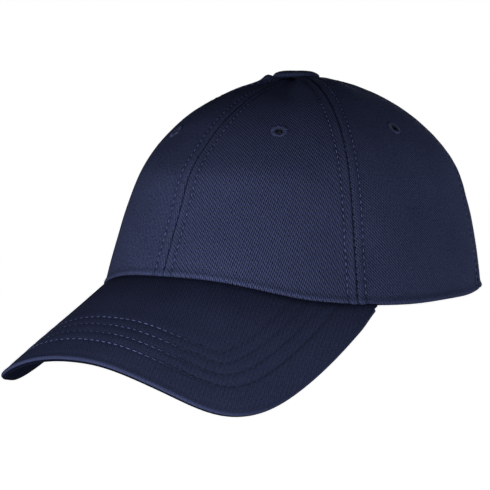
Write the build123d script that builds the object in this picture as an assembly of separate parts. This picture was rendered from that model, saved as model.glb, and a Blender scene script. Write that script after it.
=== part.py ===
from build123d import *
from math import asin, atan2, cos, degrees, exp, hypot, log, pi, radians, sin
import os

# Six-panel baseball cap, adjustable strap back.
# Millimetres. +Z up, the bill points along -Y, the wearer's left is +X.
# The origin is the centre of the head opening, in the plane of its rim.
# Angles around the crown are in degrees: 0 at the front, positive toward the wearer's left.
# "depth" is always measured inward from the crown's (or the bill's) outer face.

# Crown
HALF_WIDTH = 84.0          # half width of the rim
FRONT_LENGTH = 106.5       # origin to the rim at the front
BACK_LENGTH = 101.5        # origin to the rim at the back
PLAN_POWER = 2.23          # superellipse power of the rim's plan
CROWN_HEIGHT = 107.0       # rim plane to the top under the button
APEX_Y = -5.0              # the top sits a little forward of the middle
POWER_FRONT = 1.69         # profile power up the front
POWER_BACK = 2.07          # profile power up the back
POWER_SIDE = 0.21          # extra fullness on both sides
LEAN_FRONT = 0.033         # lean of the front wall
LEAN_BACK = 0.015          # lean of the back wall
PANEL_TOP = 88.0           # climb angle where the panels end, under the button
FRONT_SEAM = 52.2          # seam between front and side panel, at the rim
FRONT_SEAM_DRIFT = 3.1     # how far that seam moves back at the top
BACK_SEAM = 123.1          # seam between side and back panel, at the rim
BACK_SEAM_DRIFT = 3.3
SEAM_GAP = 0.12            # hairline left between neighbouring panels
CLOTH = 0.8                # cotton twill
BUCKRAM = 0.6              # stiffener behind the front panels
STIFFENER_TOP = 64.0       # climb angle where the stiffener ends
TAPE = 0.55                # woven tape over the seams inside
TAPE_HALF = 10.0           # half of the tape's width
TAPE_TOP = 85.5            # climb angle where the tapes end, over the button's washer
TAPE_SPREAD = 22.0         # widest half angle of a tape near the top, where it is mitred
PLY_GAP = 0.05             # hairline between plies

# Bill
BILL_ANGLE = 59.0          # the bill is sewn to the rim from -59 to +59 degrees
BILL_END_LIFT = 1.3        # the bill's two ends curl up under the rim
BILL_RISE = 10.8           # height of the bill at the front of the crown
BILL_DROP = 54.0           # fall of the bill's arch from middle to side
BILL_POWER = 2.48          # how square the arch is
BILL_PITCH = 0.546         # downward slope of the bill going forward
BILL_OUTLINE = ((79.0, -50.0), (78.0, -106.0), (66.4, -144.7), (42.2, -162.3))
BILL_TIP_Y = -165.9
BILL_COVER = 0.6
BILL_BOARD = 1.6
BILL_EDGE = 0.9            # width of the turned cloth around the board

# Eyelets: embroidered, one in each panel
EYELET_CLIMB = 48.3
EYELET_ANGLES = {"front": 27.8, "side": 87.0, "back": 151.8}
EYELET_R = 4.0
EYELET_HOLE_R = 1.1
EYELET_BARREL_R = 1.8
EYELET_PROUD = 0.55

# Button
BUTTON_R = 10.5
BUTTON_TOP = 109.6
BUTTON_SEAT = 106.75

# Back opening and its bias binding
ARCH_HALF = 43.0
ARCH_HEIGHT = 46.0
BINDING_WIDTH = 6.0
BINDING_CLOTH = 0.6

# Sweatband
BAND_ANGLE = 153.6
BAND_LOW = 0.6
BAND_HIGH = 32.0
BAND_DEPTH = 2.4           # crown face to the band's outer face at the front and sides
BAND_DEPTH_BACK = 5.6      # the same at the back, where the strap runs behind the band
BAND_THICK = 1.6

# Strap: every piece of the closure lies on one upright cone
STRAP_AXIS_Y = 17.0
CONE_R = 84.5              # cone radius at z = 0
CONE_LEAN = 0.2            # radius lost per unit of height
STRAP_FACE = -2.2          # strap's outer face, measured out from the cone
STRAP_THICK = 1.2
STRAP_MID_Z = 12.2
STRAP_HALF = 9.5
STRAP_ROOT = -44.0         # angles from the back, positive toward the wearer's left
STRAP_TAIL = 43.0
TAB_FACE = -0.85
TAB_THICK = 1.0
TAB_END = 42.0

# Buckle: flip lever on a frame
BUCKLE_FROM = 5.0
BUCKLE_TO = 21.0
RAIL_IN = 10.1
RAIL_OUT = 11.8
PIN_ANGLE = 16.0
PIN_OUT = 1.6              # pin's centre, out from the strap's face
PIN_R = 0.8
PIN_CLEARANCE = 0.07
LEVER_HALF = 9.6

FIT = 0.01


def plan(angle):
    a, length = radians(angle), FRONT_LENGTH
    if cos(a) < 0:
        length = BACK_LENGTH
    r = (abs(sin(a) / HALF_WIDTH) ** PLAN_POWER + abs(cos(a) / length) ** PLAN_POWER) ** (-1 / PLAN_POWER)
    return r * sin(a), -r * cos(a)


def fade(value, start, end):
    t = min(max((value - start) / (end - start), 0.0), 1.0)
    return t * t * (3 - 2 * t)


def bill_height(x, y):
    return BILL_RISE - BILL_DROP * (abs(x) / HALF_WIDTH) ** BILL_POWER + BILL_PITCH * (y + FRONT_LENGTH)


def rim_height(angle):
    # the rim rises over the bill and is level everywhere else
    off = abs((angle + 180) % 360 - 180)
    raised = 1.5 * log(1 + exp(bill_height(*plan(angle)) / 1.5)) if off < 60 else 0.0
    return raised * (1 - fade(off, 42.0, 55.0))


def profile(angle):
    x, y = plan(angle)
    length = FRONT_LENGTH if y < 0 else BACK_LENGTH
    facing = (abs(y) / length) ** (PLAN_POWER / 2) * (1 if y < 0 else -1)
    front = (1 + facing) / 2
    power = POWER_BACK + (POWER_FRONT - POWER_BACK) * front + POWER_SIDE * (1 - facing * facing)
    return power, LEAN_BACK + (LEAN_FRONT - LEAN_BACK) * front


def crown_face(angle, climb):
    x, y = plan(angle)
    power, lean = profile(angle)
    low = rim_height(angle)
    up = sin(radians(climb)) ** (2 / power)
    out = cos(radians(climb)) ** (2 / power) * (1 - lean * sin(2 * pi * up))
    return Vector(x * out, APEX_Y + (y - APEX_Y) * out, low + (CROWN_HEIGHT - low) * up)


def crown_normal(angle, climb):
    around = crown_face(angle + 0.2, climb) - crown_face(angle - 0.2, climb)
    upward = crown_face(angle, min(climb + 0.4, 89.6)) - crown_face(angle, max(climb - 0.4, 0))
    return around.cross(upward).normalized()


def crown_point(angle, climb, depth):
    return crown_face(angle, climb) - crown_normal(angle, climb) * depth


def climb_at(angle, above_rim):
    power, lean = profile(angle)
    return degrees(asin((above_rim / (CROWN_HEIGHT - rim_height(angle))) ** (power / 2)))


def reach(angle, climb):
    p = crown_face(angle, climb)
    return hypot(p.X, p.Y - APEX_Y)


def front_seam(climb):
    return FRONT_SEAM + FRONT_SEAM_DRIFT * sin(radians(climb)) ** 3


def back_seam(climb):
    return BACK_SEAM + BACK_SEAM_DRIFT * sin(radians(climb)) ** 3


def centre_front(climb):
    return 0.0


def centre_back(climb):
    return 180.0


def ply(surface, nu, nv, near, far):
    """Solid between two depths of a surface(u, v, depth), closed by ruled edges."""
    faces = []
    for depth in (near, far):
        grid = []
        for i in range(nu):
            grid.append([surface(i / (nu - 1), j / (nv - 1), depth) for j in range(nv)])
        faces.append(Face.make_surface_from_array_of_points(grid, tol=FIT, min_deg=3, max_deg=5))
    outer, inner = faces
    walls = []
    for edge in outer.edges():
        mate = min(inner.edges(), key=lambda other: (other.center() - edge.center()).length)
        walls.append(Face.make_surface_from_curves(edge, mate))
    return Solid(Shell([outer, inner, *walls]))


def mirrored(shape):
    return mirror(shape, about=Plane.YZ)


def save(name, shape):
    shape = shape.solid() if len(shape.solids()) == 1 else Compound(shape.solids())
    shape.label = name
    print(f"{name:24s} solids {len(shape.solids())} volume {shape.volume:9.1f} valid {shape.is_valid}")
    export_step(shape, f"parts/{name}.step")


os.makedirs("parts", exist_ok=True)


# ---- eyelets and the holes they line --------------------------------------
def eyelet_plane(kind):
    angle = EYELET_ANGLES[kind]
    return Plane(origin=crown_face(angle, EYELET_CLIMB), z_dir=crown_normal(angle, EYELET_CLIMB))


def eyelet_hole(kind, r):
    return eyelet_plane(kind) * Pos(0, 0, -2) * Cylinder(r, 12)


def eyelet(kind, stack):
    """Ring of satin stitch worked over the edge of the hole: two flanges and a barrel."""
    back = -stack - 0.2
    profile_pts = [
        (EYELET_HOLE_R, EYELET_PROUD * 0.75), (EYELET_HOLE_R + 0.6, EYELET_PROUD),
        (EYELET_R - 0.7, EYELET_PROUD * 0.9), (EYELET_R, 0.1), (EYELET_R, 0.05),
        (EYELET_BARREL_R, 0.05), (EYELET_BARREL_R, back), (EYELET_R - 0.4, back),
        (EYELET_R - 0.7, back - 0.45), (EYELET_HOLE_R + 0.5, back - 0.5), (EYELET_HOLE_R, back - 0.3),
    ]
    half = make_face(Polyline(*[(r, 0, z) for r, z in profile_pts], close=True))
    return eyelet_plane(kind) * revolve(half, Axis.Z, 360)


# ---- crown panels ----------------------------------------------------------
def panel(first, last):
    def surface(u, v, depth):
        climb = v * PANEL_TOP
        a, b = first(climb), last(climb)
        gap = degrees(SEAM_GAP / 2 / reach((a + b) / 2, climb))
        return crown_point(a + gap + (b - a - 2 * gap) * u, climb, depth)
    return ply(surface, 15, 19, 0, CLOTH)


def arch(grow):
    """Prism through the back wall, in the outline of the back opening grown by a margin."""
    outline = Plane.XZ * Ellipse(ARCH_HALF + grow, ARCH_HEIGHT + grow)
    return Pos(0, 130, 0) * extrude(outline, 75)


front_panel = panel(centre_front, front_seam) - eyelet_hole("front", EYELET_BARREL_R + 0.05)
side_panel = panel(front_seam, back_seam) - eyelet_hole("side", EYELET_BARREL_R + 0.05)
back_panel = panel(back_seam, centre_back) - eyelet_hole("back", EYELET_BARREL_R + 0.05)
back_panel = back_panel - arch(BINDING_CLOTH + 0.1)


# ---- stiffener behind each front panel, trimmed clear of the seam tapes ----
def stiffener_surface(u, v, depth):
    climb = climb_at(26.0, 2.0) + v * (STIFFENER_TOP - climb_at(26.0, 2.0))
    seam = front_seam(climb)
    a = degrees((TAPE_HALF + 0.4) / reach(0, climb))
    b = seam - degrees((TAPE_HALF + 0.4) / reach(seam, climb))
    return crown_point(a + (b - a) * u, climb, depth)


stiffener = ply(stiffener_surface, 9, 13, CLOTH + PLY_GAP, CLOTH + PLY_GAP + BUCKRAM)
stiffener = stiffener - eyelet_hole("front", EYELET_BARREL_R + 0.05)


# ---- tape over each seam, inside -------------------------------------------
def seam_tape(seam, from_height):
    def surface(u, v, depth):
        low = climb_at(seam(0), from_height)
        climb = low + v * (TAPE_TOP - low)
        half = degrees(TAPE_HALF / reach(seam(climb), climb))
        half = (half ** -6 + TAPE_SPREAD ** -6) ** (-1 / 6)
        return crown_point(seam(climb) + (2 * u - 1) * half, climb, depth)
    return ply(surface, 9, 21, CLOTH + PLY_GAP, CLOTH + PLY_GAP + TAPE)


# ---- bill ------------------------------------------------------------------
half_outline = list(BILL_OUTLINE)
outline_points = half_outline + [(0.0, BILL_TIP_Y)] + [(-x, y) for x, y in reversed(half_outline)]
outline = Spline(*[(x, y, 0) for x, y in outline_points])


def bill_point(u, v, depth):
    """u from -1 to +1 across, v from 0 at the crown to 1 at the free edge."""
    ix, iy = plan(u * BILL_ANGLE)
    edge = outline.position_at((1 - u) / 2)
    x, y = ix + (edge.X - ix) * v, iy + (edge.Y - iy) * v
    lift = (rim_height(u * BILL_ANGLE) - bill_height(ix, iy)) * max(1 - v, 0) ** 4
    lift += BILL_END_LIFT * fade(abs(u), 0.93, 1.0) * min(max(v, 0), 1)
    slope_x = -BILL_DROP * BILL_POWER / HALF_WIDTH * (abs(x) / HALF_WIDTH) ** (BILL_POWER - 1)
    slope_x *= 1 if x > 0 else -1
    normal = Vector(-slope_x, -BILL_PITCH, 1).normalized()
    return Vector(x, y, bill_height(x, y) + lift) - normal * depth


def bill_ply(near, far, inset, end_inset, inner):
    def surface(u, v, depth):
        u = (2 * u - 1) * (1 - end_inset)
        ix, iy = plan(u * BILL_ANGLE)
        edge = outline.position_at((1 - u) / 2)
        outer = 1 - inset / hypot(edge.X - ix, edge.Y - iy)
        start = inner / 50.0
        return bill_point(u, start + (outer - start) * v, depth)
    return ply(surface, 41, 9, near, far)


BILL_THICK = 2 * BILL_COVER + BILL_BOARD + 2 * PLY_GAP
half_thick = BILL_THICK / 2
upper = bill_ply(0.0, half_thick - 0.03, 0, 0, 0)
lower = bill_ply(half_thick + 0.03, BILL_THICK, 0, 0, 0)
bill_top = upper - bill_ply(BILL_COVER, half_thick + 1.5, BILL_EDGE, 0.03, -2.0)
bill_bottom = lower - bill_ply(half_thick - 1.5, BILL_THICK - BILL_COVER, BILL_EDGE, 0.03, -2.0)
board_near = BILL_COVER + PLY_GAP
board = bill_ply(board_near, board_near + BILL_BOARD, BILL_EDGE + 0.15, 0.035, 0.3)


# ---- binding around the back opening ----------------------------------------
def back_wall(near, far):
    def surface(u, v, depth):
        angle = 148.0 + 64.0 * u
        return crown_point(angle, v * climb_at(angle, 60.0), depth)
    return ply(surface, 21, 11, near, far)


wrap = back_wall(-BINDING_CLOTH - PLY_GAP, CLOTH + PLY_GAP + BINDING_CLOTH)
wrap = (wrap & arch(BINDING_WIDTH)) - arch(0)
kept_clear = back_wall(-PLY_GAP, CLOTH + PLY_GAP) - arch(BINDING_CLOTH + 0.05)
binding = wrap - kept_clear


# ---- sweatband: a folded sleeve with a foam strip inside ---------------------
def band_depth(angle):
    return BAND_DEPTH + (BAND_DEPTH_BACK - BAND_DEPTH) * fade(abs(angle), 104.0, 126.0)


def band_ply(near, far, low, high, angle_from, angle_to, nu=73):
    def surface(u, v, depth):
        angle = angle_from + (angle_to - angle_from) * u
        height = low + (high - low) * v
        return crown_point(angle, climb_at(angle, height), band_depth(angle) + depth)
    return ply(surface, nu, 7, near, far)


sleeve = band_ply(0, BAND_THICK, BAND_LOW, BAND_HIGH, -BAND_ANGLE, BAND_ANGLE)
pocket = band_ply(0.45, BAND_THICK - 0.45, BAND_LOW + 0.9, BAND_HIGH - 0.9, -BAND_ANGLE - 1, BAND_ANGLE + 1)
sweatband = sleeve - pocket
foam = band_ply(0.5, BAND_THICK - 0.5, BAND_LOW + 1.1, BAND_HIGH - 1.1, -BAND_ANGLE + 1, BAND_ANGLE - 1)
size_label = band_ply(BAND_THICK + 0.05, BAND_THICK + 0.4, 9, 25, 128, 143, 9)


def care_surface(u, v, depth):
    angle = -112.0 + 12.0 * u
    return crown_point(angle, climb_at(angle, 22.0 + 40.0 * v), depth)


care_label = ply(care_surface, 7, 9, 1.6, 1.95)


# ---- closure: pieces lie on the cone ------------------------------------------
lean = Vector(CONE_LEAN, 0, 1)
slant = Vector(1, 0, CONE_LEAN).normalized()
rise = Vector(-CONE_LEAN, 0, 1).normalized()
cone_axis = Axis((0, STRAP_AXIS_Y, 0), (0, 0, 1))


def on_cone(angle, out, side):
    """Point at an angle from the back, out from the strap's face, side along its height."""
    r = CONE_R + STRAP_FACE - CONE_LEAN * STRAP_MID_Z + slant.X * out + rise.X * side
    z = STRAP_MID_Z + slant.Z * out + rise.Z * side
    a = radians(angle)
    return Vector(r * sin(a), STRAP_AXIS_Y + r * cos(a), z)


def cone_block(a0, a1, out0, out1, side0, side1):
    corners = [on_cone(a0, out0, side0), on_cone(a0, out1, side0), on_cone(a0, out1, side1), on_cone(a0, out0, side1)]
    return revolve(make_face(Polyline(*corners, close=True)), Axis((0, STRAP_AXIS_Y, 0), (0, 0, -1)), a1 - a0)


def local_plane(angle):
    """x along the strap, y outward, z up the strap's height."""
    a = radians(angle)
    along = Vector(cos(a), -sin(a), 0)
    up = Vector(rise.X * sin(a), rise.X * cos(a), rise.Z)
    return Plane(origin=on_cone(angle, 0, 0), x_dir=along, z_dir=up)


def prism(angle, points, half):
    face = make_face(Polyline(*[(x, y, -half) for x, y in points], close=True))
    return local_plane(angle) * extrude(face, 2 * half, dir=(0, 0, 1))


strap = cone_block(STRAP_ROOT, STRAP_TAIL, -STRAP_THICK, 0, -STRAP_HALF, STRAP_HALF)

# frame: floor plate behind the strap, two rails beside it, ears, end bar in front
floor_out = -STRAP_THICK - 0.45
frame = cone_block(BUCKLE_FROM, 15.0, floor_out - 1.0, floor_out, -RAIL_OUT, RAIL_OUT)
window = cone_block(BUCKLE_FROM + 1.8, 13.0, floor_out - 2.0, floor_out + 0.4, -RAIL_IN + 2.5, RAIL_IN - 2.5)
frame = frame - window
for end in (-1, 1):
    sides = sorted((end * RAIL_IN, end * RAIL_OUT))
    frame = frame + cone_block(BUCKLE_FROM, BUCKLE_TO, floor_out - 1.0, 1.0, *sides)
    frame = frame + cone_block(PIN_ANGLE - 1.7, PIN_ANGLE + 1.7, 0.5, PIN_OUT + 1.5, *sides)
    frame = frame + cone_block(18.9, BUCKLE_TO, 0.5, 1.9, *sides)
frame = frame + cone_block(19.4, 20.6, 0.85, 1.75, -RAIL_OUT + 0.3, RAIL_OUT - 0.3)
pin_plane = local_plane(PIN_ANGLE)
pin_hole = pin_plane * Pos(0, PIN_OUT, 0) * Cylinder(PIN_R + 0.02, 40)
frame = frame - pin_hole
pin = pin_plane * Pos(0, PIN_OUT, 0) * Cylinder(PIN_R, 2 * RAIL_OUT + 0.4)

# lever: a thumb plate with a rolled knuckle on the pin
lever_points = [
    (0.0, PIN_OUT - 0.35), (-4.0, 0.75), (-14.2, 0.85), (-17.4, 1.75), (-17.8, 2.65),
    (-16.9, 2.75), (-13.8, 1.95), (-4.0, 1.95), (0.0, PIN_OUT + 1.55),
]
lever = prism(PIN_ANGLE, lever_points, LEVER_HALF)
lever = lever + pin_plane * Pos(0, PIN_OUT, 0) * Cylinder(1.6, 2 * LEVER_HALF)
lever = lever - pin_plane * Pos(0, PIN_OUT, 0) * Cylinder(PIN_R + PIN_CLEARANCE, 40)

# tab: doubled cloth, looped round the end bar and sewn in under the back panel
tab_out = TAB_FACE - STRAP_FACE
tab = cone_block(23.5, TAB_END, tab_out - TAB_THICK, tab_out, -STRAP_HALF, STRAP_HALF)
loop_points = [
    (6.0, tab_out - TAB_THICK), (6.0, tab_out), (3.2, 2.1), (1.2, 2.5), (-1.0, 2.5), (-1.5, 2.1),
    (-1.7, 1.2), (-1.4, 0.5), (-1.0, 0.32), (2.0, 0.3),
]
loop = prism(20.0, loop_points, STRAP_HALF)
bar_room = cone_block(19.2, 20.8, 0.72, 1.9, -RAIL_OUT, RAIL_OUT)
tab = (tab + loop) - bar_room


# ---- button -------------------------------------------------------------------
def turned(points):
    return Pos(0, APEX_Y, 0) * revolve(make_face(Polyline(*[(r, 0, z) for r, z in points], close=True)), Axis.Z, 360)


button_cover = turned([
    (0, BUTTON_TOP), (3.5, BUTTON_TOP - 0.1), (6.5, BUTTON_TOP - 0.45), (8.8, BUTTON_TOP - 1.0),
    (10.1, BUTTON_TOP - 1.7), (BUTTON_R, BUTTON_SEAT + 0.7), (10.3, BUTTON_SEAT + 0.1), (9.8, BUTTON_SEAT),
    (8.6, BUTTON_SEAT), (8.6, BUTTON_SEAT + 0.45), (9.6, BUTTON_SEAT + 0.5), (9.75, BUTTON_SEAT + 0.9),
    (8.4, BUTTON_TOP - 1.55), (6.2, BUTTON_TOP - 1.0), (3.4, BUTTON_TOP - 0.7), (0, BUTTON_TOP - 0.6),
])
button_shell = turned([
    (0, BUTTON_TOP - 0.7), (3.4, BUTTON_TOP - 0.8), (6.2, BUTTON_TOP - 1.1), (8.3, BUTTON_TOP - 1.65),
    (9.5, BUTTON_SEAT + 0.95), (9.4, BUTTON_SEAT + 0.6), (8.8, BUTTON_SEAT + 0.55), (8.0, BUTTON_TOP - 2.2),
    (6.0, BUTTON_TOP - 1.75), (3.3, BUTTON_TOP - 1.45), (0, BUTTON_TOP - 1.35),
])
button_stem = Pos(0, APEX_Y, 0) * (Pos(0, 0, 105.55) * Cylinder(1.3, 5.3) + Pos(0, 0, 102.75) * Cylinder(2.6, 0.7))
button_washer = Pos(0, APEX_Y, 103.7) * (Cylinder(7.0, 0.9) - Cylinder(1.35, 3))


# ---- one file per piece ---------------------------------------------------------
pairs = {
    "panel_front": front_panel, "panel_side": side_panel, "panel_back": back_panel,
    "stiffener": stiffener,
    "eyelet_front": eyelet("front", CLOTH + PLY_GAP + BUCKRAM),
    "eyelet_side": eyelet("side", CLOTH),
    "eyelet_back": eyelet("back", CLOTH),
    "tape_front_side": seam_tape(front_seam, 1.0),
    "tape_back_side": seam_tape(back_seam, 1.0),
}
for name, shape in pairs.items():
    save(f"{name}_left", shape)
    save(f"{name}_right", mirrored(shape))

singles = {
    "tape_centre_front": seam_tape(centre_front, 1.0),
    "tape_centre_back": seam_tape(centre_back, ARCH_HEIGHT + BINDING_WIDTH + 1.5),
    "bill_top_cover": bill_top, "bill_board": board, "bill_bottom_cover": bill_bottom,
    "opening_binding": binding,
    "sweatband": sweatband, "sweatband_foam": foam, "size_label": size_label, "care_label": care_label,
    "strap": strap, "buckle_tab": tab, "buckle_frame": frame, "buckle_pin": pin, "buckle_lever": lever,
    "button_cover": button_cover, "button_shell": button_shell, "button_stem": button_stem,
    "button_washer": button_washer,
}
for name, shape in singles.items():
    save(name, shape)
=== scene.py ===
import random
from math import asin, atan2, cos, degrees, exp, hypot, log, pi, radians, sin, sqrt, tau

import bmesh
import bpy
from mathutils import Matrix, Vector, noise
from mathutils.kdtree import KDTree


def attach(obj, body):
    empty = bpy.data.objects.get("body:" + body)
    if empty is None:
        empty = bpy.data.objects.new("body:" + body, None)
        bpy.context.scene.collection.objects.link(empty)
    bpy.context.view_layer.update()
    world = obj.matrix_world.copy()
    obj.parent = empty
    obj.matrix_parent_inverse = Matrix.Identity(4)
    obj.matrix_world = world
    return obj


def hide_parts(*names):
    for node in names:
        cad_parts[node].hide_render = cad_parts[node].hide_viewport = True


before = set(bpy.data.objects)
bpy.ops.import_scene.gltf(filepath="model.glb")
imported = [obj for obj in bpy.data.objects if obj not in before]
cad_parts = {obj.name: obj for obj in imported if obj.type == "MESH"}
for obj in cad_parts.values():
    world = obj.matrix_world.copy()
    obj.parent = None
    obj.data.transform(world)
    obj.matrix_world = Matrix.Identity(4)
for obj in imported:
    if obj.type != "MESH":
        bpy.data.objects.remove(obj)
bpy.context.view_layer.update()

MM = 0.001
random.seed(7)

# ---- the crown and bill as surfaces, in millimetres ---------------------------
HALF_WIDTH, FRONT_LENGTH, BACK_LENGTH = 84.0, 106.5, 101.5
PLAN_POWER, CROWN_HEIGHT, APEX_Y = 2.23, 107.0, -5.0
POWER_FRONT, POWER_BACK, POWER_SIDE = 1.69, 2.07, 0.21
LEAN_FRONT, LEAN_BACK = 0.033, 0.015
PANEL_TOP = 88.0
BILL_ANGLE, BILL_RISE, BILL_DROP, BILL_POWER, BILL_PITCH = 59.0, 10.8, 54.0, 2.48, 0.546
BILL_OUTLINE = ((79.0, -50.0), (78.0, -106.0), (66.4, -144.7), (42.2, -162.3))
BILL_TIP_Y = -165.9
BILL_HALF, BILL_END_LIFT = 1.45, 1.3
ARCH_HALF, ARCH_HEIGHT = 43.0, 46.0
BAND_ANGLE, BAND_DEPTH, BAND_DEPTH_BACK = 153.6, 2.4, 5.6
STRAP_AXIS_Y, CONE_R, CONE_LEAN, STRAP_FACE, STRAP_MID_Z = 17.0, 84.5, 0.2, -2.2, 12.2


def plan(angle):
    a = radians(angle)
    length = FRONT_LENGTH if cos(a) > 0 else BACK_LENGTH
    across, along = abs(sin(a) / HALF_WIDTH), abs(cos(a) / length)
    r = (across ** PLAN_POWER + along ** PLAN_POWER) ** (-1 / PLAN_POWER)
    return r * sin(a), -r * cos(a)


def fade(value, start, end):
    t = min(max((value - start) / (end - start), 0.0), 1.0)
    return t * t * (3 - 2 * t)


def hump(value, centre, width):
    return exp(-(((value - centre) / width) ** 2))


def curve_through(points, value):
    """Height of a smooth line through (place, height) pairs."""
    if value <= points[0][0]:
        return points[0][1]
    for (x0, y0), (x1, y1) in zip(points, points[1:]):
        if value <= x1:
            return y0 + (y1 - y0) * fade(value, x0, x1)
    return points[-1][1]


def bill_height(x, y):
    return BILL_RISE - BILL_DROP * (abs(x) / HALF_WIDTH) ** BILL_POWER + BILL_PITCH * (y + FRONT_LENGTH)


def rim_height(angle):
    off = abs((angle + 180) % 360 - 180)
    raised = 1.5 * log(1 + exp(bill_height(*plan(angle)) / 1.5)) if off < 60 else 0.0
    return raised * (1 - fade(off, 42.0, 55.0))


def profile(angle):
    x, y = plan(angle)
    length = FRONT_LENGTH if y < 0 else BACK_LENGTH
    facing = (abs(y) / length) ** (PLAN_POWER / 2) * (1 if y < 0 else -1)
    front = (1 + facing) / 2
    power = POWER_BACK + (POWER_FRONT - POWER_BACK) * front + POWER_SIDE * (1 - facing * facing)
    return power, LEAN_BACK + (LEAN_FRONT - LEAN_BACK) * front


def face(angle, climb):
    x, y = plan(angle)
    power, lean = profile(angle)
    low = rim_height(angle)
    up = sin(radians(climb)) ** (2 / power)
    out = cos(radians(climb)) ** (2 / power) * (1 - lean * sin(2 * pi * up))
    return Vector((x * out, APEX_Y + (y - APEX_Y) * out, low + (CROWN_HEIGHT - low) * up))


def normal_at(angle, climb):
    around = face(angle + 0.2, climb) - face(angle - 0.2, climb)
    upward = face(angle, min(climb + 0.4, 89.6)) - face(angle, max(climb - 0.4, 0))
    return around.cross(upward).normalized()


def on_crown(angle, climb, out=0.0):
    return face(angle, climb) + normal_at(angle, climb) * out


def climb_at(angle, above_rim):
    power, lean = profile(angle)
    part = max(above_rim, 0.0) / (CROWN_HEIGHT - rim_height(angle))
    return degrees(asin(part ** (power / 2)))


def reach(angle, climb):
    p = face(angle, climb)
    return hypot(p.x, p.y - APEX_Y)


def mm_per_degree(angle, climb):
    return (face(angle + 0.5, climb) - face(angle - 0.5, climb)).length


def front_seam(climb):
    return 52.2 + 3.1 * sin(radians(climb)) ** 3


def back_seam(climb):
    return 123.1 + 3.3 * sin(radians(climb)) ** 3


def centre_front(climb):
    return 0.0


def centre_back(climb):
    return 180.0


def on_cone(angle, out, side):
    k = sqrt(1 + CONE_LEAN ** 2)
    r = CONE_R + STRAP_FACE - CONE_LEAN * STRAP_MID_Z + out / k - CONE_LEAN * side / k
    a = radians(angle)
    return Vector((r * sin(a), STRAP_AXIS_Y + r * cos(a), STRAP_MID_Z + CONE_LEAN * out / k + side / k))


# ---- mesh helpers ----------------------------------------------------------------
def piece(name, points, faces, material, body, uv=None, shade=None, stands_for=(),
          levels=0, thick=0.0, closed=False):
    mesh = bpy.data.meshes.new(name)
    mesh.from_pydata([p * MM for p in points], [], faces)
    if closed:
        volume = bmesh.new()
        volume.from_mesh(mesh)
        bmesh.ops.recalc_face_normals(volume, faces=volume.faces)
        volume.to_mesh(mesh)
        volume.free()
    if uv:
        layer = mesh.uv_layers.new(name="cloth")
        for loop in mesh.loops:
            u, v = uv[loop.vertex_index]
            layer.data[loop.index].uv = (u / 100, v / 100)
    # 'shade' carries per-point painted shade and painted highlights, with random tone, into the materials'
    # colour
    attribute = mesh.attributes.new("shade", "FLOAT", "POINT")
    for i in range(len(points)):
        attribute.data[i].value = shade[i] if shade else 1.0
    mesh.polygons.foreach_set("use_smooth", [True] * len(faces))
    mesh.materials.append(material)
    mesh.validate()
    obj = bpy.data.objects.new(name, mesh)
    bpy.context.scene.collection.objects.link(obj)
    if thick:
        solid = obj.modifiers.new("thickness", "SOLIDIFY")
        solid.thickness = thick * MM
        solid.offset = -1
        solid.use_rim = True
    if levels:
        smooth = obj.modifiers.new("smooth", "SUBSURF")
        smooth.levels = smooth.render_levels = levels
    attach(obj, body)
    if stands_for:
        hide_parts(*stands_for)
    return obj


def grid_faces(rows, cols, around=False, flip=False, start=0):
    faces = []
    for i in range(rows - 1):
        for j in range(cols if around else cols - 1):
            k = (j + 1) % cols
            low, high = start + i * cols, start + (i + 1) * cols
            quad = (low + j, low + k, high + k, high + j)
            faces.append(tuple(reversed(quad)) if flip else quad)
    return faces


STITCH_RINGS = STITCH_SIDES = 6


def stitches(name, runs, material, body, radius=0.23, length=2.25, pitch=3.2, proud=0.04,
             tone=None):
    """Rows of single stitches: each run is a list of (point, normal) in order along the row."""
    points, faces, shade = [], [], []
    for run in runs:
        travelled = [0.0]
        for (p, _), (q, _) in zip(run, run[1:]):
            travelled.append(travelled[-1] + (q - p).length)
        place, index = random.uniform(0, 0.4) * pitch, 0

        def at(s):
            nonlocal index
            while index < len(run) - 2 and travelled[index + 1] < s:
                index += 1
            while index > 0 and travelled[index] > s:
                index -= 1
            gap = max(travelled[index + 1] - travelled[index], 1e-6)
            t = min(max((s - travelled[index]) / gap, 0), 1)
            p, n = run[index]
            q, m = run[index + 1]
            return p.lerp(q, t), n.lerp(m, t).normalized()

        while place + length < travelled[-1]:
            own = length * random.uniform(0.9, 1.06)
            skew = random.uniform(-0.09, 0.09)
            start = len(points)
            for k in range(STITCH_RINGS):
                t = k / (STITCH_RINGS - 1)
                p, n = at(place + own * t)
                ahead, _ = at(place + own * t + 0.2)
                along = (ahead - p).normalized()
                side = n.cross(along).normalized()
                lift = proud - 0.42 * abs(2 * t - 1) ** 3
                r = radius * (1 - 0.35 * abs(2 * t - 1) ** 3)
                centre = p + n * lift + side * skew * (2 * t - 1)
                for m in range(STITCH_SIDES):
                    a = tau * m / STITCH_SIDES
                    points.append(centre + n * (r * sin(a)) + side * (r * cos(a)))
                    # painted shade: each stitch darkens towards its ends, where it sinks into the cloth;
                    # tone(), when given, adds painted light along the row
                    shade.append((tone(centre) if tone else 1.0) * (1 - 0.35 * abs(2 * t - 1) ** 3))
            faces += grid_faces(STITCH_RINGS, STITCH_SIDES, around=True, start=start)
            last = len(points) - 1
            faces.append(tuple(start + m for m in range(STITCH_SIDES)))
            faces.append(tuple(last - m for m in range(STITCH_SIDES)))
            place += pitch * random.uniform(0.96, 1.04)
    return piece(name, points, faces, material, body, None, shade, closed=True)


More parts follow.
